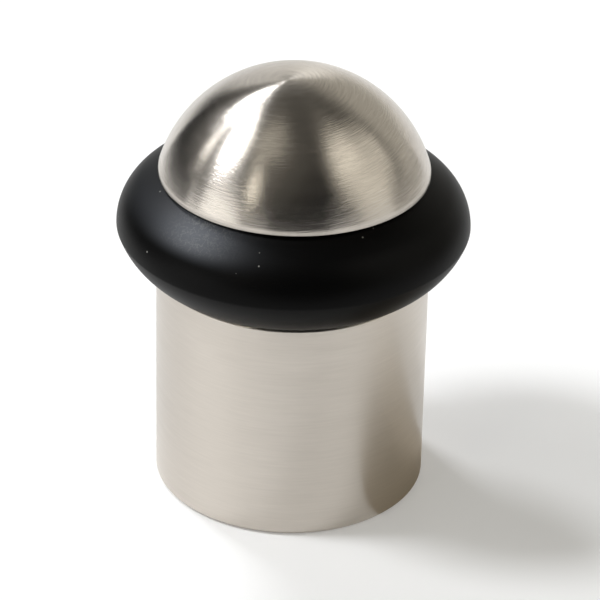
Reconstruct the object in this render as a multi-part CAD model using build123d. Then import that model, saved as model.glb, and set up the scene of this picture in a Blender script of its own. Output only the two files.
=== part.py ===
"""Dome door stop: a short metal post that stands on the floor and stops a door with its rubber ring.

The post is turned from bar, with a neck at its top. The moulded ring sits round the neck, on the post's
shoulder, and a domed cap screws down on it. A headless set screw joins cap and post, and a second
tapped hole, in the base, takes the bolt that fixes the stop to a floor.

Millimetres, +Z up. The origin is the centre of the base, on the floor, and everything is round about Z.
"""
import math
import os

from build123d import *

# Post
BARREL_DIAMETER = 30.0
SHOULDER_HEIGHT = 26.2      # floor to the shoulder that carries the ring
NECK_DIAMETER = 22.0
BASE_CHAMFER = 0.4
SHOULDER_CHAMFER = 0.3
NECK_CHAMFER = 0.4          # lead on the neck's end, so that the ring slips over it

# Domed cap
CAP_INSET = 0.2             # the cap's rim stands this far inside the line of the post
CAP_LAND = 0.6              # short upright band between the rim's edge and the dome
DOME_RISE = 11.0            # top of the land to the crown
RIM_CHAMFER = 0.15          # lower edge, above the rubber

# Rubber ring
RING_DIAMETER = 38.7        # at the crease that the two halves of the mould leave
RING_HEIGHT = 11.2          # shoulder to the underside of the cap
CREASE_HEIGHT = 5.0         # shoulder to the crease
RING_NOSE_RADIUS = 5.4      # round nose above the crease, which meets the door
RING_FLANK_RADIUS = 9.0     # belly of the flank below the crease
RING_SETBACK = 0.6          # how far the ring's top edge stays inside the cap's rim
RING_BORE_CLEARANCE = 0.05  # ring to neck, all round
RING_BORE_CHAMFER = 0.4     # both ends of the bore

# Fixing hole in the base, tapped M8
FIXING_BORE = 6.8           # tapping drill for M8
FIXING_DEPTH = 14.0         # to the end of the full diameter
FIXING_COUNTERSINK = 8.6    # diameter of the countersink at the floor

# Joint between cap and post: M8 set screw, drawn at its pitch diameter
STUD_THREAD = 8.0
STUD_PITCH = 1.25
STUD_LENGTH = 16.0
STUD_IN_CAP = 6.5           # how much of it goes into the cap
STUD_CHAMFER = 0.7
STUD_CLEARANCE = 0.02       # stud to the wall of its holes
SOCKET_ACROSS_FLATS = 4.0
SOCKET_DEPTH = 4.0
CAP_HOLE_SPARE = 1.0        # drilled beyond the stud's end
NECK_HOLE_SPARE = 2.0
JOINT_HOLE_MOUTH = 0.5      # countersink beyond the thread, all round

DRILL_POINT = 118.0         # angle of the cone that a drill leaves at the end of a hole
THREAD_FLANK = 0.6495       # pitch diameter lies this many pitches under the thread diameter

BARREL_RADIUS = BARREL_DIAMETER / 2
NECK_RADIUS = NECK_DIAMETER / 2
CAP_RADIUS = BARREL_RADIUS - CAP_INSET
CAP_UNDERSIDE = SHOULDER_HEIGHT + RING_HEIGHT
STUD_RADIUS = (STUD_THREAD - THREAD_FLANK * STUD_PITCH) / 2
JOINT_HOLE_RADIUS = STUD_RADIUS + STUD_CLEARANCE


def turned(outline):
    """Solid made by turning a closed half section, given as (radius, height) edges, about Z."""
    with BuildPart() as solid:
        with BuildSketch(Plane.XZ):
            add(outline)
        revolve(axis=Axis.Z)
    return solid.part


def drilled_hole(radius, depth, mouth_radius):
    """What a drill and a countersink take out: mouth at z = 0, going down."""
    mouth_depth = mouth_radius - radius
    tip = radius / math.tan(math.radians(DRILL_POINT / 2))
    with BuildSketch() as section:
        with BuildLine():
            Polyline(
                (0, 0),
                (mouth_radius, 0),
                (radius, -mouth_depth),
                (radius, -depth),
                (0, -depth - tip),
                close=True,
            )
        make_face()
    return turned(section.sketch)


def barrel():
    """Post with its neck, the tapped hole in the base and the one for the set screw."""
    with BuildSketch() as section:
        with BuildLine():
            Polyline(
                (0, 0),
                (BARREL_RADIUS - BASE_CHAMFER, 0),
                (BARREL_RADIUS, BASE_CHAMFER),
                (BARREL_RADIUS, SHOULDER_HEIGHT - SHOULDER_CHAMFER),
                (BARREL_RADIUS - SHOULDER_CHAMFER, SHOULDER_HEIGHT),
                (NECK_RADIUS, SHOULDER_HEIGHT),
                (NECK_RADIUS, CAP_UNDERSIDE - NECK_CHAMFER),
                (NECK_RADIUS - NECK_CHAMFER, CAP_UNDERSIDE),
                (0, CAP_UNDERSIDE),
                close=True,
            )
        make_face()
    post = turned(section.sketch)
    fixing = drilled_hole(FIXING_BORE / 2, FIXING_DEPTH, FIXING_COUNTERSINK / 2)
    joint_depth = STUD_LENGTH - STUD_IN_CAP + NECK_HOLE_SPARE
    joint = drilled_hole(JOINT_HOLE_RADIUS, joint_depth, JOINT_HOLE_RADIUS + JOINT_HOLE_MOUTH)
    post -= fixing.mirror(Plane.XY)
    post -= Pos(0, 0, CAP_UNDERSIDE) * joint
    return post


def dome_cap():
    """Domed cap: a flat underside, a short upright land, and one round arc over the crown."""
    land_top = CAP_UNDERSIDE + CAP_LAND
    crown = land_top + DOME_RISE
    dome_radius = (CAP_RADIUS**2 + DOME_RISE**2) / (2 * DOME_RISE)
    with BuildSketch() as section:
        with BuildLine():
            RadiusArc((0, crown), (CAP_RADIUS, land_top), dome_radius)
            Polyline((CAP_RADIUS, land_top), (CAP_RADIUS, CAP_UNDERSIDE), (0, CAP_UNDERSIDE), (0, crown))
        make_face()
        rim = section.vertices().group_by(Axis.Y)[0].sort_by(Axis.X)[-1]
        chamfer(rim, RIM_CHAMFER)
    cap = turned(section.sketch)
    joint_depth = STUD_IN_CAP + CAP_HOLE_SPARE
    joint = drilled_hole(JOINT_HOLE_RADIUS, joint_depth, JOINT_HOLE_RADIUS + JOINT_HOLE_MOUTH)
    cap -= Pos(0, 0, CAP_UNDERSIDE) * joint.mirror(Plane.XY)
    return cap


def tangent_point(outside, centre, radius):
    """Where a line from a point above a circle touches the circle's outer side."""
    away = (outside[0] - centre[0], outside[1] - centre[1])
    turn = math.acos(radius / math.hypot(*away))
    angle = math.atan2(away[1], away[0]) - turn
    return (centre[0] + radius * math.cos(angle), centre[1] + radius * math.sin(angle))


def rubber_ring():
    """Moulded ring: a round nose over the crease, a straight slope up to the cap, and a full flank below."""
    bore = NECK_RADIUS + RING_BORE_CLEARANCE
    foot = (BARREL_RADIUS, SHOULDER_HEIGHT)
    crease = (RING_DIAMETER / 2, SHOULDER_HEIGHT + CREASE_HEIGHT)
    top = (CAP_RADIUS - RING_SETBACK, CAP_UNDERSIDE)
    nose_centre = (crease[0] - RING_NOSE_RADIUS, crease[1])
    slope_start = tangent_point(top, nose_centre, RING_NOSE_RADIUS)
    with BuildSketch() as section:
        with BuildLine():
            RadiusArc(foot, crease, -RING_FLANK_RADIUS)
            RadiusArc(crease, slope_start, -RING_NOSE_RADIUS)
            Polyline(slope_start, top, (bore, CAP_UNDERSIDE), (bore, SHOULDER_HEIGHT), foot)
        make_face()
        chamfer(section.vertices().group_by(Axis.X)[0], RING_BORE_CHAMFER)
    return turned(section.sketch)


def joining_stud():
    """Headless set screw with a hexagon socket in its upper end."""
    with BuildSketch() as section:
        with BuildLine():
            Polyline((0, 0), (STUD_RADIUS, 0), (STUD_RADIUS, STUD_LENGTH), (0, STUD_LENGTH), close=True)
        make_face()
        chamfer(section.vertices().group_by(Axis.X)[-1], STUD_CHAMFER)
    stud = turned(section.sketch)
    hexagon = RegularPolygon(SOCKET_ACROSS_FLATS / 2, 6, major_radius=False)
    socket = extrude(hexagon, SOCKET_DEPTH)
    stud -= Pos(0, 0, STUD_LENGTH - SOCKET_DEPTH) * socket
    return Pos(0, 0, CAP_UNDERSIDE + STUD_IN_CAP - STUD_LENGTH) * stud


os.makedirs("parts", exist_ok=True)
for make in (barrel, dome_cap, rubber_ring, joining_stud):
    export_step(make(), f"parts/{make.__name__}.step")
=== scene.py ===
# %% [markdown]
# # Dome door stop: brushed metal and black rubber
# The object is a floor door stop. A short post of brushed stainless steel stands on the floor, a thick
# rubber ring sits on its shoulder to meet the door, and a domed cap is screwed down on the ring.
# Every piece is round about the same upright axis, so each one is an outline that is spun once round.
# The load below brings in the solid model, and the pieces made here take its places.

# %% Load the solid model
import math

import bmesh
import bpy
from mathutils import Matrix, Vector


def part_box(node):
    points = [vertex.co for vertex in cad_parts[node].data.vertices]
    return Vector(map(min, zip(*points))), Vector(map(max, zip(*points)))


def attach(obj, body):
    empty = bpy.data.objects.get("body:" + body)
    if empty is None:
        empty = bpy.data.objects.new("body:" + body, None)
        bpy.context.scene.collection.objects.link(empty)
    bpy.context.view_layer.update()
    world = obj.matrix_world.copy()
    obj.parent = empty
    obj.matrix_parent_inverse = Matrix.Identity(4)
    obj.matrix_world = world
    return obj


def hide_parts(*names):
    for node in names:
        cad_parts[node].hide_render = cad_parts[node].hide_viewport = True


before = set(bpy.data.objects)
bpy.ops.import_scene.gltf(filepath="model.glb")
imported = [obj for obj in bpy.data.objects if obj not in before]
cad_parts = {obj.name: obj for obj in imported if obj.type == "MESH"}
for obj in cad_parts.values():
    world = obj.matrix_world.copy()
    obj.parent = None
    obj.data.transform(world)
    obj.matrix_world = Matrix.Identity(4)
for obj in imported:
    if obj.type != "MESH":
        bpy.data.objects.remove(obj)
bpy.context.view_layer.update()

# %% [markdown]
# ## Sizes
# Outlines are drawn in millimetres, as on a turner's drawing, and MM turns them to metres. The solids'
# own boxes give the post's radius, the shoulder, the rim and the crown, so the drawing can't drift from
# them. Only what a box doesn't show, such as a chamfer or a bore, is listed.

# %% Sizes of the turned pieces
MM = 0.001
barrel_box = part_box("barrel")
cap_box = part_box("dome_cap")
ring_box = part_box("rubber_ring")

POST_RADIUS = barrel_box[1][0] / MM
SHOULDER = ring_box[0][2] / MM
RIM = cap_box[0][2] / MM
CROWN = cap_box[1][2] / MM
CAP_RADIUS = cap_box[1][0] / MM
RING_RADIUS = ring_box[1][0] / MM

NECK_RADIUS = 11.0
BASE_CHAMFER = 0.4
SHOULDER_CHAMFER = 0.3
NECK_CHAMFER = 0.4
print(f"post {POST_RADIUS:.2f}, shoulder {SHOULDER:.2f}, rim {RIM:.2f}, crown {CROWN:.2f}")

# %% [markdown]
# ## The camera
# The photo was taken with a long lens, looking down at thirty degrees, so the upright sides hardly
# converge. The camera is placed by distance and elevation from a point on the stop's axis, aimed a hair
# beside it, and rolled a little, because the stop leans slightly in the frame.

# %% Camera
LENS_MM = 223.98
SENSOR_MM = 36.0
CAMERA_DISTANCE = 413.4     # from the point on the axis
CAMERA_ELEVATION = math.radians(30.33)
CAMERA_ROLL = math.radians(1.26)
AXIS_POINT = Vector((0, 0, 20.0))   # millimetres, as the next one
AIM_POINT = Vector((0.897, 0.532, 20.91))


def place_camera():
    """Makes the camera, turned to the aim point and rolled as in the photo, and returns it."""
    data = bpy.data.cameras.new("camera")
    data.lens = LENS_MM
    data.sensor_width = SENSOR_MM
    camera = bpy.data.objects.new("camera", data)
    bpy.context.scene.collection.objects.link(camera)
    back = Vector((0, -math.cos(CAMERA_ELEVATION), math.sin(CAMERA_ELEVATION)))
    place = AXIS_POINT + back * CAMERA_DISTANCE
    turn = (AIM_POINT - place).to_track_quat("-Z", "Y").to_matrix().to_4x4()
    camera.matrix_world = Matrix.Translation(place * MM) @ turn @ Matrix.Rotation(CAMERA_ROLL, 4, "Z")
    bpy.context.scene.camera = camera
    return camera


camera = place_camera()
print("camera at", [round(value, 4) for value in camera.matrix_world.translation])

# %% [markdown]
# ## Drawing an outline
# A turner's profile is made of straight runs and arcs. In bmesh a straight run is an edge to a new
# vertex, and an arc is the last vertex spun about the arc's centre. A sharp corner is then softened by a
# vertex bevel, because no real edge is perfectly sharp and the small round catches the light.

# %% Outline helpers
ARC_STEP = math.radians(1.5)    # an arc gets a vertex at every such step
ROUND_SEGMENTS = 4


def start_at(bm, radius, height):
    """First vertex of an outline."""
    return bm.verts.new((radius * MM, 0, height * MM))


def line_to(bm, last, radius, height):
    """Straight run from the last vertex to a new one."""
    new = start_at(bm, radius, height)
    bm.edges.new((last, new))
    return new


def arc_to(bm, last, end, arc_radius):
    """Arc that bulges away from the axis, from the last vertex to an end given as (radius, height)."""
    start = Vector((last.co.x, last.co.z)) / MM
    end = Vector(end)
    chord = end - start
    inward = Vector((chord.y, -chord.x)).normalized()
    centre = (start + end) / 2 + inward * math.sqrt(arc_radius**2 - chord.length_squared / 4)
    spokes = [point - centre for point in (start, end)]
    sweep = math.atan2(spokes[1].x, spokes[1].y) - math.atan2(spokes[0].x, spokes[0].y)
    made = bmesh.ops.spin(
        bm,
        geom=[last],
        cent=(centre.x * MM, 0, centre.y * MM),
        axis=(0, 1, 0),
        angle=sweep,
        steps=math.ceil(abs(sweep) / ARC_STEP),
    )
    return [part for part in made["geom_last"] if isinstance(part, bmesh.types.BMVert)][0]


def soften(bm, corner, size):
    """Rounds one corner of the outline."""
    bmesh.ops.bevel(
        bm,
        geom=[corner],
        offset=size * MM,
        offset_type="OFFSET",
        segments=ROUND_SEGMENTS,
        profile=0.5,
        affect="VERTICES",
        material=-1,
    )


# %% [markdown]
# ## Turning it
# A full spin with merging closes the outline into a skin. The vertices that lie on the axis all land on
# one spot, so they are merged into a single pole, and the normals are turned outwards afterwards.
# Weighted normals keep the long plain walls straight in their shading beside the tiny rounds.

# %% Turning helper
TURN_STEPS = 256
POLE_GAP = 0.0005           # vertices nearer than this are one
SHARP_ANGLE = math.radians(35)  # a steeper edge stays a crease in the shading


def turned(bm, name):
    """Spins the outline once round the axis and returns it as a finished object."""
    bmesh.ops.spin(
        bm,
        geom=bm.verts[:] + bm.edges[:],
        cent=(0, 0, 0),
        axis=(0, 0, 1),
        angle=math.tau,
        steps=TURN_STEPS,
        use_merge=True,
    )
    bmesh.ops.remove_doubles(bm, verts=bm.verts, dist=POLE_GAP * MM)
    bmesh.ops.recalc_face_normals(bm, faces=bm.faces)
    return as_object(bm, name)


def weigh_normals(piece):
    """Lets large faces lead the shading and keeps the sharp edges."""
    weighted = piece.modifiers.new("weighted_normals", "WEIGHTED_NORMAL")
    weighted.keep_sharp = True


def as_object(bm, name):
    """Turns a bmesh into a smooth-shaded object with its true edges kept sharp."""
    mesh = bpy.data.meshes.new(name)
    bm.to_mesh(mesh)
    bm.free()
    mesh.shade_smooth()
    mesh.set_sharp_from_angle(angle=SHARP_ANGLE)
    made = bpy.data.objects.new(name, mesh)
    bpy.context.scene.collection.objects.link(made)
    weigh_normals(made)
    print(f"{name}: {len(mesh.polygons)} faces")
    return made


# %% [markdown]
# ## The post
# Turned from bar in one piece: a wide body, a shoulder for the ring and a narrower neck inside the ring.
# Its foot and its shoulder are lightly chamfered. The neck's end is drilled for the set screw that holds
# the cap, and the base is drilled and tapped for the bolt that fixes the stop to a floor.

# %% Post
FIXING_BORE = 3.4           # radius of the tapping drill for M8
FIXING_DEPTH = 14.0
FIXING_MOUTH = 4.3          # radius of the countersink at the floor
JOINT_BORE = 3.614          # radius that clears the set screw
NECK_HOLE_DEPTH = 11.5
JOINT_MOUTH = 0.5
DRILL_POINT = 118           # degrees, of the cone that a drill leaves
DRILL_SLOPE = math.tan(math.radians(DRILL_POINT / 2))
EDGE_ROUND = 0.08


def post_outline(bm):
    """Draws the post's half section, from the end of the neck's hole to the end of the base's hole."""
    at = start_at(bm, 0, RIM - NECK_HOLE_DEPTH - JOINT_BORE / DRILL_SLOPE)
    at = line_to(bm, at, JOINT_BORE, RIM - NECK_HOLE_DEPTH)
    at = line_to(bm, at, JOINT_BORE, RIM - JOINT_MOUTH)
    at = line_to(bm, at, JOINT_BORE + JOINT_MOUTH, RIM)
    at = line_to(bm, at, NECK_RADIUS - NECK_CHAMFER, RIM)
    at = line_to(bm, at, NECK_RADIUS, RIM - NECK_CHAMFER)
    at = line_to(bm, at, NECK_RADIUS, SHOULDER)
    corners = [line_to(bm, at, POST_RADIUS - SHOULDER_CHAMFER, SHOULDER)]
    corners.append(line_to(bm, corners[-1], POST_RADIUS, SHOULDER - SHOULDER_CHAMFER))
    corners.append(line_to(bm, corners[-1], POST_RADIUS, BASE_CHAMFER))
    corners.append(line_to(bm, corners[-1], POST_RADIUS - BASE_CHAMFER, 0))
    at = line_to(bm, corners[-1], FIXING_MOUTH, 0)
    at = line_to(bm, at, FIXING_BORE, FIXING_MOUTH - FIXING_BORE)
    at = line_to(bm, at, FIXING_BORE, FIXING_DEPTH)
    line_to(bm, at, 0, FIXING_DEPTH + FIXING_BORE / DRILL_SLOPE)
    for corner in corners:
        soften(bm, corner, EDGE_ROUND)


bm = bmesh.new()
post_outline(bm)
post = turned(bm, "post")
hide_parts("barrel")

# %% [markdown]
# ## The thread in the base
# On the real post the thread is cut with a tap: a hardened screw that leaves its own shape in the hole.
# A bump could draw its lines, but the hole would still have a smooth edge, so the tap's work is done
# here too. One pitch of the thread's profile is spun with a rise at every step, which makes the winding
# of the tap. It is cut off square at both ends, closed, and subtracted from the post.

# %% Tap and tapped hole
THREAD_PITCH = 1.25
THREAD_RADIUS = 4.0
THREAD_FLANK = math.radians(30)
THREAD_ROOT_FLAT = THREAD_PITCH / 8
THREAD_END = 13.2
TAP_CORE = FIXING_BORE - 0.05   # a little inside the drilled wall, so that the cut is clean
TAP_START = -3 * THREAD_PITCH
TAP_STEPS = 64
SPARE_TURNS = 2             # beyond the thread's end, where the tap is then cut off
TAP_GAP = 0.001             # vertices of neighbouring turns nearer than this are one


def tap():
    """Closed screw as large as the thread's grooves, from below the base to the thread's end."""
    flank = (THREAD_RADIUS - TAP_CORE) * math.tan(THREAD_FLANK)
    crest = THREAD_PITCH - THREAD_ROOT_FLAT - 2 * flank
    bm = bmesh.new()
    at = start_at(bm, TAP_CORE, TAP_START)
    at = line_to(bm, at, TAP_CORE, TAP_START + crest)
    at = line_to(bm, at, THREAD_RADIUS, TAP_START + crest + flank)
    at = line_to(bm, at, THREAD_RADIUS, TAP_START + crest + flank + THREAD_ROOT_FLAT)
    line_to(bm, at, TAP_CORE, TAP_START + THREAD_PITCH)
    turns = math.ceil((THREAD_END - TAP_START) / THREAD_PITCH) + SPARE_TURNS
    bmesh.ops.spin(
        bm,
        geom=bm.verts[:] + bm.edges[:],
        cent=(0, 0, 0),
        axis=(0, 0, 1),
        dvec=(0, 0, THREAD_PITCH / TAP_STEPS * MM),
        angle=math.tau * turns,
        steps=TAP_STEPS * turns,
    )
    bmesh.ops.remove_doubles(bm, verts=bm.verts, dist=TAP_GAP * MM)
    for height, direction in ((-THREAD_PITCH, -1), (THREAD_END, 1)):
        bmesh.ops.bisect_plane(
            bm,
            geom=bm.verts[:] + bm.edges[:] + bm.faces[:],
            plane_co=(0, 0, height * MM),
            plane_no=(0, 0, direction),
            clear_outer=True,
        )
    bmesh.ops.holes_fill(bm, edges=[edge for edge in bm.edges if edge.is_boundary], sides=0)
    bmesh.ops.recalc_face_normals(bm, faces=bm.faces)
    return as_object(bm, "tap")


def cut(piece, tool):
    """Subtracts a tool from a piece, keeps the result as the piece's mesh and deletes the tool."""
    boolean = piece.modifiers.new("cut", "BOOLEAN")
    boolean.operation = "DIFFERENCE"
    boolean.solver = "EXACT"
    boolean.object = tool
    piece.modifiers.remove(piece.modifiers["weighted_normals"])
    depsgraph = bpy.context.evaluated_depsgraph_get()
    result = bpy.data.meshes.new_from_object(piece.evaluated_get(depsgraph))
    piece.modifiers.clear()
    piece.data = result
    piece.data.name = piece.name
    bpy.data.objects.remove(tool)
    weigh_normals(piece)


cut(post, tap())
print("post after tapping:", len(post.data.polygons), "faces")

# %% [markdown]
# ## The domed cap
# The real cap is turned from bar, with a flat underside and a hole for the set screw. A short upright
# land meets the ring's top, and one arc runs from it over the crown. A squashed sphere could stand for
# it, but it would lose the land, which draws a thin light line round the rim in the photo.

# %% Domed cap
CAP_LAND = 0.6
LAND_ROUND = 0.2
RIM_CHAMFER = 0.15
CAP_HOLE_DEPTH = 7.5


def cap_outline(bm):
    """Draws the cap's half section, from the crown over the rim to the end of its hole."""
    rise = CROWN - RIM - CAP_LAND
    dome_radius = (CAP_RADIUS**2 + rise**2) / (2 * rise)
    at = start_at(bm, 0, CROWN)
    land_top = arc_to(bm, at, (CAP_RADIUS, RIM + CAP_LAND), dome_radius)
    at = line_to(bm, land_top, CAP_RADIUS, RIM + RIM_CHAMFER)
    at = line_to(bm, at, CAP_RADIUS - RIM_CHAMFER, RIM)
    at = line_to(bm, at, JOINT_BORE + JOINT_MOUTH, RIM)
    at = line_to(bm, at, JOINT_BORE, RIM + JOINT_MOUTH)
    at = line_to(bm, at, JOINT_BORE, RIM + CAP_HOLE_DEPTH)
    line_to(bm, at, 0, RIM + CAP_HOLE_DEPTH + JOINT_BORE / DRILL_SLOPE)
    soften(bm, land_top, LAND_ROUND)


bm = bmesh.new()
cap_outline(bm)
cap = turned(bm, "domed_cap")
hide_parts("dome_cap")

# %% [markdown]
# ## The rubber ring
# It is pressed in a mould of two halves, whose joint leaves a crease at the widest circle. Above it a
# round nose runs into a straight slope up to the cap, and below it a slightly full flank runs down to
# the shoulder. A torus could stand for it, but that is round all over, and the slope would be lost.

# %% Rubber ring
CREASE_HEIGHT = 5.0
NOSE_RADIUS = 5.4
FLANK_RADIUS = 9.0
RING_SETBACK = 0.6
RING_BORE = 11.05           # radius that clears the neck
RING_BORE_CHAMFER = 0.4
CREASE_ROUND = 0.15


def tangent_point(outside, centre, radius):
    """Where a line from a point above a circle touches the circle's outer side."""
    away = Vector(outside) - Vector(centre)
    angle = math.atan2(away.y, away.x) - math.acos(radius / away.length)
    return (centre[0] + radius * math.cos(angle), centre[1] + radius * math.sin(angle))


def ring_outline(bm):
    """Draws the ring's closed section, from its top edge over the crease to the foot and up the bore."""
    crease_point = (RING_RADIUS, SHOULDER + CREASE_HEIGHT)
    nose_centre = (RING_RADIUS - NOSE_RADIUS, crease_point[1])
    top_edge = (CAP_RADIUS - RING_SETBACK, RIM)
    top = start_at(bm, *top_edge)
    at = line_to(bm, top, *tangent_point(top_edge, nose_centre, NOSE_RADIUS))
    crease = arc_to(bm, at, crease_point, NOSE_RADIUS)
    foot = arc_to(bm, crease, (POST_RADIUS, SHOULDER), FLANK_RADIUS)
    at = line_to(bm, foot, RING_BORE + RING_BORE_CHAMFER, SHOULDER)
    at = line_to(bm, at, RING_BORE, SHOULDER + RING_BORE_CHAMFER)
    at = line_to(bm, at, RING_BORE, RIM - RING_BORE_CHAMFER)
    at = line_to(bm, at, RING_BORE + RING_BORE_CHAMFER, RIM)
    bm.edges.new((at, top))
    soften(bm, crease, CREASE_ROUND)


bm = bmesh.new()
ring_outline(bm)
ring = turned(bm, "ring")
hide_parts("rubber_ring")

# %% [markdown]
# ## Colours and nodes
# Colours are written as on a screen, in hex, and one function turns them to the linear values that the
# shaders work with. One more function adds a node with its settings and links, which keeps each material
# short enough to read.

# %% Material helpers


def linear(hex_colour):
    """Screen colour such as '#c8bfb2' as a linear RGBA tuple."""
    channels = [int(hex_colour[start : start + 2], 16) / 255 for start in (1, 3, 5)]
    decoded = [c / 12.92 if c <= 0.04045 else ((c + 0.055) / 1.055) ** 2.4 for c in channels]
    return (*decoded, 1.0)


def add_node(tree, kind, inputs=None, **settings):
    """Adds a node; each input is a value or the output socket that feeds it."""
    made = tree.nodes.new(kind)
    for name, value in settings.items():
        setattr(made, name, value)
    for key, value in (inputs or {}).items():
        if isinstance(value, bpy.types.NodeSocket):
            tree.links.new(value, made.inputs[key])
        else:
            made.inputs[key].default_value = value
    return made


def toward(azimuth, elevation):
    """Unit vector from the stop; azimuth in degrees from +X towards +Y, elevation above the floor."""
    flat = math.cos(math.radians(elevation))
    turn = math.radians(azimuth)
    return Vector((math.cos(turn) * flat, math.sin(turn) * flat, math.sin(math.radians(elevation))))


def new_material(name):
    """Returns an empty material with its node tree and its Principled shader."""
    material = bpy.data.materials.new(name)
    material.use_nodes = True
    return material, material.node_tree, material.node_tree.nodes["Principled BSDF"]


print(f"screen grey #808080 reflects {linear('#808080')[0]:.3f} of the light")

# %% [markdown]
# ## Brushed metal
# The post and the cap were brushed while they turned, so every scratch is an arc about the axis. Under
# a microscope such a surface is a field of fine grooves, which spread a reflection across themselves and
# hardly along. That is what gives a brushed dome its fan of light and dark wedges. The shader is told
# the direction of the grooves as a tangent. It wanders a little from one scratch to the next, as the
# grit's own path does, and that frays the edges of the wedges.

# %% Directions and scratches of circular brushing


def brushing_circles(tree, centre_mm):
    """Returns place, way along the grooves and distance across them, for an upright brushing axis."""
    place = add_node(tree, "ShaderNodeTexCoord").outputs["Object"]
    shift = (-centre_mm[0] * MM, -centre_mm[1] * MM, 0)
    centred = add_node(tree, "ShaderNodeMapping", {"Vector": place, "Location": shift}).outputs[0]
    flat = add_node(
        tree, "ShaderNodeVectorMath", {0: centred, 1: (1, 1, 0)}, operation="MULTIPLY"
    ).outputs[0]
    turned_flat = add_node(
        tree, "ShaderNodeVectorMath", {0: (0, 0, 1), 1: flat}, operation="CROSS_PRODUCT"
    ).outputs[0]
    groove = add_node(tree, "ShaderNodeVectorMath", {0: turned_flat}, operation="NORMALIZE").outputs[0]
    radius = add_node(tree, "ShaderNodeVectorMath", {0: flat}, operation="LENGTH").outputs["Value"]
    height = add_node(tree, "ShaderNodeSeparateXYZ", {0: centred}).outputs["Z"]
    across = add_node(tree, "ShaderNodeMath", {0: radius, 1: height}, operation="SUBTRACT").outputs[0]
    return flat, groove, across


NOISE_LOW = 0.3
NOISE_HIGH = 0.7


def scratches(tree, flat, across, spacing_mm, length_mm, detail):
    """Noise that is long round the circles and fine across them, in real millimetres."""
    long_way = add_node(
        tree, "ShaderNodeVectorMath", {0: flat, "Scale": 1 / (length_mm * MM)}, operation="SCALE"
    ).outputs[0]
    fine_way = add_node(
        tree, "ShaderNodeMath", {0: across, 1: 1 / (spacing_mm * MM)}, operation="MULTIPLY"
    ).outputs[0]
    lift = add_node(tree, "ShaderNodeCombineXYZ", {"Z": fine_way}).outputs[0]
    place = add_node(tree, "ShaderNodeVectorMath", {0: long_way, 1: lift}).outputs[0]
    return add_node(
        tree, "ShaderNodeTexNoise", {"Vector": place, "Scale": 1.0, "Detail": detail, "Roughness": 0.6}
    ).outputs["Fac"]


def between(tree, noise, lowest, highest):
    """Spreads the middle of a noise, where nearly all its values lie, over a range."""
    ends = {"From Min": NOISE_LOW, "From Max": NOISE_HIGH, "To Min": lowest, "To Max": highest}
    return add_node(tree, "ShaderNodeMapRange", {"Value": noise, **ends}).outputs[0]


# %% [markdown]
# One function makes the metal of both pieces from the measures of their scratches. The post was brushed
# with a fine belt, whose scratches lie about 0.05 mm apart, and the cap with a coarser one, which leaves
# about 0.1 mm between them. Both are finer than a pixel of the picture, so they are drawn coarser, 0.2
# and 0.16 mm apart. The cap's are drawn deeper and darker too, and that gives it the coarser look. They
# circle round a point a little beside the post's axis, because the cap was brushed by itself.

# %% Brushed metal
METAL_COLOUR = "#cec7be"
GROOVE_TURN = 0.25          # quarter turn: the shader spreads light along its tangent, a groove across
BAND_SPACING = 5            # smoother and rougher bands are this many scratches wide
BAND_LENGTH = 3             # and this many scratches long
BAND_PLAY = 0.07            # share by which their roughness differs


def brushed_metal(name, roughness, one_way, spacing_mm, length_mm, depth_mm, wander, darkest, centre_mm):
    """Stainless steel brushed in circles; one_way is 0 for an even spread and 1 for a thin streak."""
    material, tree, shader = new_material(name)
    flat, groove, across = brushing_circles(tree, centre_mm)
    fine = scratches(tree, flat, across, spacing_mm, length_mm, 3.0)
    coarse = scratches(tree, flat, across, BAND_SPACING * spacing_mm, BAND_LENGTH * length_mm, 2.0)
    bump = add_node(
        tree, "ShaderNodeBump", {"Height": fine, "Strength": 1.0, "Distance": depth_mm * MM}
    ).outputs[0]
    normal = add_node(tree, "ShaderNodeNewGeometry").outputs["Normal"]
    sideways = add_node(
        tree, "ShaderNodeVectorMath", {0: groove, 1: normal}, operation="CROSS_PRODUCT"
    ).outputs[0]
    drift = between(tree, fine, -wander, wander)
    offset = add_node(
        tree, "ShaderNodeVectorMath", {0: sideways, "Scale": drift}, operation="SCALE"
    ).outputs[0]
    tangent = add_node(tree, "ShaderNodeVectorMath", {0: groove, 1: offset}).outputs[0]
    shade = between(tree, fine, darkest, 1.0)
    tint = add_node(
        tree, "ShaderNodeVectorMath", {0: linear(METAL_COLOUR)[:3], "Scale": shade}, operation="SCALE"
    ).outputs[0]
    spread = between(tree, coarse, (1 - BAND_PLAY) * roughness, (1 + BAND_PLAY) * roughness)
    tree.links.new(tint, shader.inputs["Base Color"])
    tree.links.new(spread, shader.inputs["Roughness"])
    tree.links.new(bump, shader.inputs["Normal"])
    tree.links.new(tangent, shader.inputs["Tangent"])
    shader.inputs["Metallic"].default_value = 1.0
    shader.inputs["Anisotropic"].default_value = one_way
    shader.inputs["Anisotropic Rotation"].default_value = GROOVE_TURN
    return material


def give(piece, material, slot):
    """Puts the material on the piece, prints its slot and fixes the piece to the stop."""
    piece.data.materials.clear()
    piece.data.materials.append(material)
    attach(piece, "root")
    print(f"{piece.name}: {material.name}, slot {slot}")


post_metal = brushed_metal(
    "brushed_stainless_post",
    roughness=0.32,
    one_way=0.75,
    spacing_mm=0.2,
    length_mm=4.0,
    depth_mm=0.0016,
    wander=0.03,
    darkest=0.94,
    centre_mm=(0, 0),
)
cap_metal = brushed_metal(
    "brushed_stainless_cap",
    roughness=0.23,
    one_way=0.85,
    spacing_mm=0.16,
    length_mm=2.5,
    depth_mm=0.02,
    wander=0.12,
    darkest=0.82,
    centre_mm=(-0.85, -1.0),
)
give(post, post_metal, "satin_metal")
give(cap, cap_metal, "satin_metal")
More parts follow.
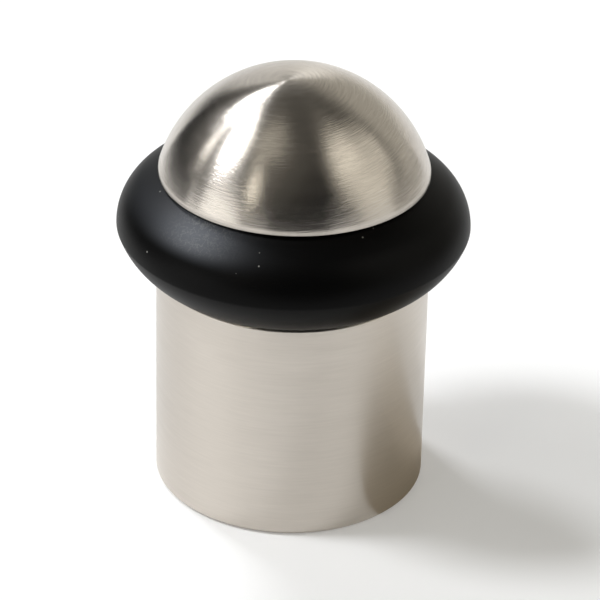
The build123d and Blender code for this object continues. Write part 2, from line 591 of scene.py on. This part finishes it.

# %% [markdown]
# ## Moulded rubber
# Black rubber, pressed in a plain mould, has hardly any gloss of its own. It shows its use more than the
# metal does: fine curly scratches lie on the slope at the front left, and single specks of dust cling to
# the rest. The bluish patch round those scratches is painted sheen, a paler colour that stands in for the
# windows' reflection on the slope. Each mark is a mask between 0 and 1 that mixes a paler colour into the
# black. The painted sheen is where a band round the ring and one up its slope meet.

# %% Bands on the ring


def band_round(tree, place, azimuth, half_width):
    """1 at a direction round the ring, half at the half width on either side; both are in degrees."""
    flat = add_node(
        tree, "ShaderNodeVectorMath", {0: place, 1: (1, 1, 0)}, operation="MULTIPLY"
    ).outputs[0]
    outward = add_node(tree, "ShaderNodeVectorMath", {0: flat}, operation="NORMALIZE").outputs[0]
    nearness = add_node(
        tree, "ShaderNodeVectorMath", {0: outward, 1: toward(azimuth, 0)}, operation="DOT_PRODUCT"
    ).outputs["Value"]
    ahead = add_node(tree, "ShaderNodeMath", {0: nearness, 1: 0.0}, operation="MAXIMUM").outputs[0]
    steepness = math.log(0.5) / math.log(math.cos(math.radians(half_width)))
    return add_node(tree, "ShaderNodeMath", {0: ahead, 1: steepness}, operation="POWER").outputs[0]


def band_up(tree, place, dark_mm, light_mm):
    """0 at one height and 1 at another, and smooth between them."""
    height = add_node(tree, "ShaderNodeSeparateXYZ", {0: place}).outputs["Z"]
    edges = {"From Min": dark_mm * MM, "From Max": light_mm * MM}
    return add_node(
        tree, "ShaderNodeMapRange", {"Value": height, **edges}, interpolation_type="SMOOTHSTEP"
    ).outputs[0]


def overlap(tree, first, *others):
    """Where all the given masks meet, weakened by the given strengths."""
    for other in others:
        both = {0: first, 1: other}
        first = add_node(tree, "ShaderNodeMath", both, operation="MULTIPLY").outputs[0]
    return first


# %% Painted sheen, scratches and dust
# These place a painted sheen, the windows' reflection on the slope, in the rubber's colour; the azimuth
# also places the scratches.
SHEEN_AND_SCRATCH_AZIMUTH = 231
SHEEN_HALF_WIDTH = 13
SHEEN_STRENGTH = 0.85
SHEEN_FILM_AZIMUTH = 210
SHEEN_FILM_HALF_WIDTH = 30
SHEEN_FILM_STRENGTH = 0.17
SHEEN_FOOT = 33.9            # heights above the floor, as on the drawing
SHEEN_HEART = 36.1
SHEEN_TOP = 38.4
SCRATCH_LOOP_MM = 0.55
SCRATCH_WIDTH = 0.05        # part of the noise's range
SCRATCH_STRENGTH = 0.3
SPECK_CELL_MM = 1.2
SPECK_SIZE = 0.11           # part of a cell
SPECK_SHARE = 0.1           # part of the cells that hold a speck


def painted_sheen(tree, place):
    """Painted sheen for the windows' reflection: a strong heart on a weak film reaching further round."""
    heart = overlap(tree, band_round(tree, place, SHEEN_AND_SCRATCH_AZIMUTH, SHEEN_HALF_WIDTH), SHEEN_STRENGTH)
    sheen_film = overlap(tree, band_round(tree, place, SHEEN_FILM_AZIMUTH, SHEEN_FILM_HALF_WIDTH), SHEEN_FILM_STRENGTH)
    both = add_node(tree, "ShaderNodeMath", {0: heart, 1: sheen_film}).outputs[0]
    rising = band_up(tree, place, SHEEN_FOOT, SHEEN_HEART)
    falling = band_up(tree, place, SHEEN_TOP, SHEEN_HEART)
    return overlap(tree, both, rising, falling)


def scratches_in(tree, place, area):
    """Fine curly lines, which are the level lines of a noise, kept to an area."""
    curls = add_node(
        tree, "ShaderNodeTexNoise",
        {"Vector": place, "Scale": 1 / (SCRATCH_LOOP_MM * MM), "Detail": 2.0, "Distortion": 0.6},
    ).outputs["Fac"]
    from_level = add_node(tree, "ShaderNodeMath", {0: curls, 1: 0.5}, operation="SUBTRACT").outputs[0]
    distance = add_node(tree, "ShaderNodeMath", {0: from_level}, operation="ABSOLUTE").outputs[0]
    lines = add_node(
        tree, "ShaderNodeMapRange", {"Value": distance, "From Min": SCRATCH_WIDTH, "From Max": 0.0}
    ).outputs[0]
    return overlap(tree, lines, area, SCRATCH_STRENGTH)


def dust_specks(tree, place):
    """Small round specks, each in a cell of its own and only in a small share of the cells."""
    cells = add_node(
        tree, "ShaderNodeTexVoronoi", {"Vector": place, "Scale": 1 / (SPECK_CELL_MM * MM)}
    ).outputs
    chance = add_node(tree, "ShaderNodeSeparateXYZ", {0: cells["Color"]}).outputs["X"]
    chosen = add_node(
        tree, "ShaderNodeMath", {0: chance, 1: SPECK_SHARE}, operation="LESS_THAN"
    ).outputs[0]
    edges = {"From Min": SPECK_SIZE, "From Max": SPECK_SIZE / 2}
    speck = add_node(tree, "ShaderNodeMapRange", {"Value": cells["Distance"], **edges}).outputs[0]
    return overlap(tree, chosen, speck)


# %% [markdown]
# The rubber takes the fine matt grain of the blasted mould, a tenth of a millimetre or so, and it is
# drawn at a third of a millimetre, because a finer one wouldn't show. Carbon black makes it dark all
# through and leaves it a weak shine, so the shader's specular level is far below that of a plastic.

# %% Rubber
RUBBER_COLOUR = "#050505"
# bluish grey of the painted sheen, which stands in for the windows' reflection
SHEEN_COLOUR = "#5f6268"
DUST_COLOUR = "#8f8f8a"
SCRATCHED_HALF_WIDTH = 9
SCRATCHED_FOOT = 34.6
SCRATCHED_HEART = 35.8
GRAIN_MM = 0.35
GRAIN_DEPTH_MM = 0.004
RUBBER_SHINE = 0.08
RUBBER_ROUGHNESS = 0.42


def moulded_rubber():
    """Black moulded rubber with a fine grain, painted sheen with real scratches in it, and dust specks.
    """
    material, tree, shader = new_material("moulded_black_rubber")
    place = add_node(tree, "ShaderNodeTexCoord").outputs["Object"]
    beside = band_round(tree, place, SHEEN_AND_SCRATCH_AZIMUTH, SCRATCHED_HALF_WIDTH)
    scratched = overlap(tree, beside, band_up(tree, place, SCRATCHED_FOOT, SCRATCHED_HEART))
    # the first mark is painted sheen; the scratches and the dust are real marks
    marks_and_sheen = (
        (painted_sheen(tree, place), SHEEN_COLOUR),
        (scratches_in(tree, place, scratched), DUST_COLOUR),
        (dust_specks(tree, place), DUST_COLOUR),
    )
    colour = linear(RUBBER_COLOUR)
    for mask, paler in marks_and_sheen:
        mixed = {0: mask, 6: colour, 7: linear(paler)}
        colour = add_node(tree, "ShaderNodeMix", mixed, data_type="RGBA").outputs[2]
    grain = add_node(
        tree, "ShaderNodeTexNoise", {"Vector": place, "Scale": 1 / (GRAIN_MM * MM), "Detail": 2.0}
    ).outputs["Fac"]
    bump = add_node(
        tree, "ShaderNodeBump", {"Height": grain, "Strength": 1.0, "Distance": GRAIN_DEPTH_MM * MM}
    ).outputs[0]
    tree.links.new(colour, shader.inputs["Base Color"])
    tree.links.new(bump, shader.inputs["Normal"])
    shader.inputs["Specular IOR Level"].default_value = RUBBER_SHINE
    shader.inputs["Roughness"].default_value = RUBBER_ROUGHNESS
    return material


give(ring, moulded_rubber(), "black_rubber")

# %% [markdown]
# ## The set screw
# The headless screw joins cap and post and never shows once the stop is together. Its shape is right as
# it is, so it keeps the solid model's own mesh and only gets its finish: zinc, laid on in a plating bath,
# which leaves faint clouds where it is a little rougher.

# %% Set screw
ZINC_COLOUR = "#b9bcc0"
ZINC_CLOUD_MM = 1.5
ZINC_SMOOTHEST = 0.25
ZINC_ROUGHEST = 0.4


def zinc_plate():
    """Bright zinc plate on a steel screw."""
    material, tree, shader = new_material("zinc_plated_screw")
    place = add_node(tree, "ShaderNodeTexCoord").outputs["Object"]
    cloud = add_node(
        tree, "ShaderNodeTexNoise", {"Vector": place, "Scale": 1 / (ZINC_CLOUD_MM * MM)}
    ).outputs["Fac"]
    ends = {"To Min": ZINC_SMOOTHEST, "To Max": ZINC_ROUGHEST}
    rough = add_node(tree, "ShaderNodeMapRange", {"Value": cloud, **ends}).outputs[0]
    tree.links.new(rough, shader.inputs["Roughness"])
    shader.inputs["Base Color"].default_value = linear(ZINC_COLOUR)
    shader.inputs["Metallic"].default_value = 1.0
    return material


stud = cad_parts["joining_stud"]
stud.material_slots[0].material = zinc_plate()
print("slots of the set screw:", [slot.material.name for slot in stud.material_slots])
print("finishes:", sorted(material.name for material in bpy.data.materials))

# %% [markdown]
# ## The floor
# A plain white sheet, so wide that its edge is never seen. The lamps alone leave it a light grey at the
# level that suits the metal. The last bit up to white comes from a weak glow, which shows to the camera
# and in the metal, and lights nothing, so the shadow of the stop stays.

# %% Floor
FLOOR_RADIUS = 3.0          # metres
FLOOR_COLOUR = "#ebebeb"
FLOOR_GLOW = 0.2
PAPER_ROUGHNESS = 0.9


def shown_only(tree, strength):
    """The strength for rays that show a thing, to the camera or in metal and glass, or else 0."""
    rays = add_node(tree, "ShaderNodeLightPath").outputs
    seen = rays["Is Camera Ray"]
    for kind in ("Is Glossy Ray", "Is Transmission Ray"):
        seen = add_node(tree, "ShaderNodeMath", {0: seen, 1: rays[kind]}, operation="MAXIMUM").outputs[0]
    return add_node(tree, "ShaderNodeMath", {0: seen, 1: strength}, operation="MULTIPLY").outputs[0]


def make_floor():
    """White floor of matt paper."""
    bm = bmesh.new()
    bmesh.ops.create_circle(bm, cap_ends=True, segments=96, radius=FLOOR_RADIUS)
    mesh = bpy.data.meshes.new("floor")
    bm.to_mesh(mesh)
    bm.free()
    floor = bpy.data.objects.new("floor", mesh)
    bpy.context.scene.collection.objects.link(floor)
    material, tree, shader = new_material("white_floor_paper")
    shader.inputs["Base Color"].default_value = linear(FLOOR_COLOUR)
    shader.inputs["Roughness"].default_value = PAPER_ROUGHNESS
    shader.inputs["Specular IOR Level"].default_value = 0.0
    shader.inputs["Emission Color"].default_value = (1, 1, 1, 1)
    tree.links.new(shown_only(tree, FLOOR_GLOW), shader.inputs["Emission Strength"])
    mesh.materials.append(material)
    return floor


floor = make_floor()
print(f"{floor.name}: {FLOOR_RADIUS} m in radius")

# %% [markdown]
# ## Two windows
# Most of the light comes down from the back left, where the photo's metal mirrors two bright places, one
# nearly at the left and one behind. Each is a round lamp that faces the stop. It is described the way a
# mirror sees it, by its direction, its half angle and its brightness, and the power follows from these.

# %% Lamps
LAMP_DISTANCE = 1.2         # metres
COOL_DAYLIGHT = (0.98, 1.0, 1.04)


def window_lamp(name, azimuth, elevation, half_angle, radiance):
    """Round lamp that faces the stop and looks as bright as its radiance, unseen by the camera."""
    data = bpy.data.lights.new(name, "AREA")
    data.shape = "DISK"
    data.size = 2 * LAMP_DISTANCE * math.tan(math.radians(half_angle))
    area = math.pi * (data.size / 2) ** 2
    data.energy = radiance * area * math.pi
    data.color = COOL_DAYLIGHT
    lamp = bpy.data.objects.new(name, data)
    bpy.context.scene.collection.objects.link(lamp)
    away = toward(azimuth, elevation)
    facing = away.to_track_quat("Z", "Y").to_matrix().to_4x4()
    lamp.matrix_world = Matrix.Translation(away * LAMP_DISTANCE) @ facing
    lamp.visible_camera = False
    return lamp


lamps = (
    window_lamp("window", azimuth=177, elevation=50, half_angle=6.5, radiance=36.0),
    window_lamp("second_window", azimuth=127, elevation=48, half_angle=6.0, radiance=31.0),
)
print("watts:", {lamp.name: round(lamp.data.energy, 1) for lamp in lamps})

# %% [markdown]
# ## Cards round the stop
# Brushed metal looks flat where all that it mirrors is white. A product photographer puts cards on the
# table, out of the picture, and their mirror images give a darker edge between the bright ones. A black
# card stands behind on the left, a low black one in front and a low grey one on the right. A cream sheet
# lies in the shadow at the post's foot and is painted shade: it lacks the floor's glow, so the shadow's
# mirror image in the post is darker. All of them are hidden from the camera and cast no shadow, so they
# show as mirror images alone.

# %% Cards
CARD_DISTANCE = 0.22        # metres
CARD_WIDTH = 0.2            # metres
SHEET_LIFT = 0.05           # millimetres above the floor, so that the two don't mix
PAPER_SHINE = 0.1
BLACK_PAPER = "#101010"
GREY_PAPER = "#a9a59c"
SHADE_SHEET_CREAM = "#dad0c0"


def show_in_mirrors_only(bm, name, paper):
    """Makes a piece of matt paper that shows in shiny surfaces alone."""
    mesh = bpy.data.meshes.new(name)
    bm.to_mesh(mesh)
    bm.free()
    card = bpy.data.objects.new(name, mesh)
    bpy.context.scene.collection.objects.link(card)
    material, tree, shader = new_material(name + "_paper")
    shader.inputs["Base Color"].default_value = linear(paper)
    shader.inputs["Roughness"].default_value = PAPER_ROUGHNESS
    shader.inputs["Specular IOR Level"].default_value = PAPER_SHINE
    mesh.materials.append(material)
    card.visible_camera = False
    card.visible_diffuse = False
    card.visible_shadow = False
    print(name, "of", paper)


def turn_verts(bm, degrees, axis):
    """Turns the whole bmesh about an axis through the origin."""
    turn = Matrix.Rotation(math.radians(degrees), 3, axis)
    bmesh.ops.rotate(bm, cent=(0, 0, 0), matrix=turn, verts=bm.verts)


def stand_card(name, azimuth, height, paper):
    """Upright card that faces the stop; its height is in metres."""
    bm = bmesh.new()
    bmesh.ops.create_grid(bm, x_segments=1, y_segments=1, size=0.5)
    bmesh.ops.scale(bm, vec=(CARD_WIDTH, height, 1), verts=bm.verts)
    turn_verts(bm, 90, "X")
    turn_verts(bm, azimuth - 90, "Z")
    middle = toward(azimuth, 0) * CARD_DISTANCE + Vector((0, 0, height / 2))
    bmesh.ops.translate(bm, vec=middle, verts=bm.verts)
    show_in_mirrors_only(bm, name, paper)


def lay_sheet(name, middle_mm, radii_mm, turn, paper):
    """Oval sheet of paper that lies on the floor."""
    bm = bmesh.new()
    bmesh.ops.create_circle(bm, cap_ends=True, segments=48, radius=MM)
    bmesh.ops.scale(bm, vec=(*radii_mm, 1), verts=bm.verts)
    turn_verts(bm, turn, "Z")
    bmesh.ops.translate(bm, vec=Vector((*middle_mm, SHEET_LIFT)) * MM, verts=bm.verts)
    show_in_mirrors_only(bm, name, paper)


stand_card("back_left_card", azimuth=152, height=0.085, paper=BLACK_PAPER)
stand_card("front_card", azimuth=275, height=0.055, paper=BLACK_PAPER)
stand_card("right_card", azimuth=20, height=0.05, paper=GREY_PAPER)
# painted shade: this sheet darkens the shadow's mirror image in the post
lay_sheet("shade_sheet_at_foot", middle_mm=(27, -7), radii_mm=(19, 13), turn=-15, paper=SHADE_SHEET_CREAM)

# %% [markdown]
# ## The room
# The rest of the light comes from a dim room, and it is the room that the metal shows between the two
# windows. It could be built of walls and lamps, but soft round patches of the world do the same work.
# Each has a direction, a size, a soft edge, a level and one of two tints: daylight, or the cream of a
# painted wall. Everything else stays black, but for a pale band at the horizon, which is what a camera
# low down sees past the floor's edge.

# %% Room
DAYLIGHT = (1.0, 1.0, 0.98)
CREAM_WALL = (1.04, 1.0, 0.89)
HORIZON_TOP = 4.0           # degrees above the floor
HORIZON_FADE = 1.2          # it has faded out at this many times its height
HORIZON_LEVEL = 0.7
# Each patch has its azimuth, elevation, radius and soft edge in degrees, then its level and its tint.
ROOM = {
    "window_haze": (178, 50, 9, 11, 5.0, DAYLIGHT),
    "beside_window": (230, 33, 5, 3, 5.0, CREAM_WALL),
    "under_window": (163, 30, 5, 2, 4.2, DAYLIGHT),
    "over_window": (214, 69, 11, 15, 0.7, CREAM_WALL),
    "right_wall_top": (341, 53, 13, 2, 0.55, CREAM_WALL),
    "right_wall": (348, 34, 28, 6, 0.8, CREAM_WALL),
    "right_wall_foot": (343, 8, 16, 6, 0.2, CREAM_WALL),
    "back_right_wall": (55, 11, 36, 30, 0.5, CREAM_WALL),
    "back_wall": (97, 19, 17, 4, 0.8, DAYLIGHT),
    "front_left_low": (207, 2, 19, 4, 1.65, DAYLIGHT),
    "ceiling": (190, 60, 56, 30, 0.1, CREAM_WALL),
}


def patch(tree, direction, name, azimuth, elevation, radius, softness):
    """Mask of one soft round patch: 1 inside and 0 outside, with half its soft edge on each side."""
    cosine = add_node(
        tree, "ShaderNodeVectorMath", {0: direction, 1: toward(azimuth, elevation)},
        operation="DOT_PRODUCT", label=name,
    ).outputs["Value"]
    angle = add_node(tree, "ShaderNodeMath", {0: cosine}, operation="ARCCOSINE").outputs[0]
    edges = {
        "From Min": math.radians(radius + softness / 2),
        "From Max": math.radians(radius - softness / 2),
    }
    return add_node(
        tree, "ShaderNodeMapRange", {"Value": angle, **edges}, interpolation_type="SMOOTHSTEP"
    ).outputs[0]


def horizon(tree, direction):
    """Pale band from the floor's edge up to a few degrees, which only shows and lights nothing."""
    height = add_node(tree, "ShaderNodeSeparateXYZ", {0: direction}).outputs["Z"]
    top = math.radians(HORIZON_TOP)
    edges = {"From Min": HORIZON_FADE * top, "From Max": top}
    band = add_node(tree, "ShaderNodeMapRange", {"Value": height, **edges}).outputs[0]
    return overlap(tree, band, shown_only(tree, 1.0))


def make_room():
    """World that adds up the room's patches and the horizon on black."""
    world = bpy.data.worlds.new("room")
    bpy.context.scene.world = world
    world.use_nodes = True
    tree = world.node_tree
    direction = add_node(tree, "ShaderNodeTexCoord").outputs["Generated"]
    band = {0: (HORIZON_LEVEL,) * 3, "Scale": horizon(tree, direction)}
    total = add_node(tree, "ShaderNodeVectorMath", band, operation="SCALE").outputs[0]
    for name, (azimuth, elevation, radius, softness, level, tint) in ROOM.items():
        mask = patch(tree, direction, name, azimuth, elevation, radius, softness)
        lit = {0: [level * channel for channel in tint], "Scale": mask}
        light = add_node(tree, "ShaderNodeVectorMath", lit, operation="SCALE").outputs[0]
        total = add_node(tree, "ShaderNodeVectorMath", {0: total, 1: light}).outputs[0]
    tree.links.new(total, tree.nodes["Background"].inputs["Color"])


make_room()
print("room:", ", ".join(ROOM))

# %% [markdown]
# ## View
# The Standard view shows each colour as it was written. A dressed piece may not reach outside the
# solid that it stands for.

# %% View
bpy.context.scene.view_settings.view_transform = "Standard"
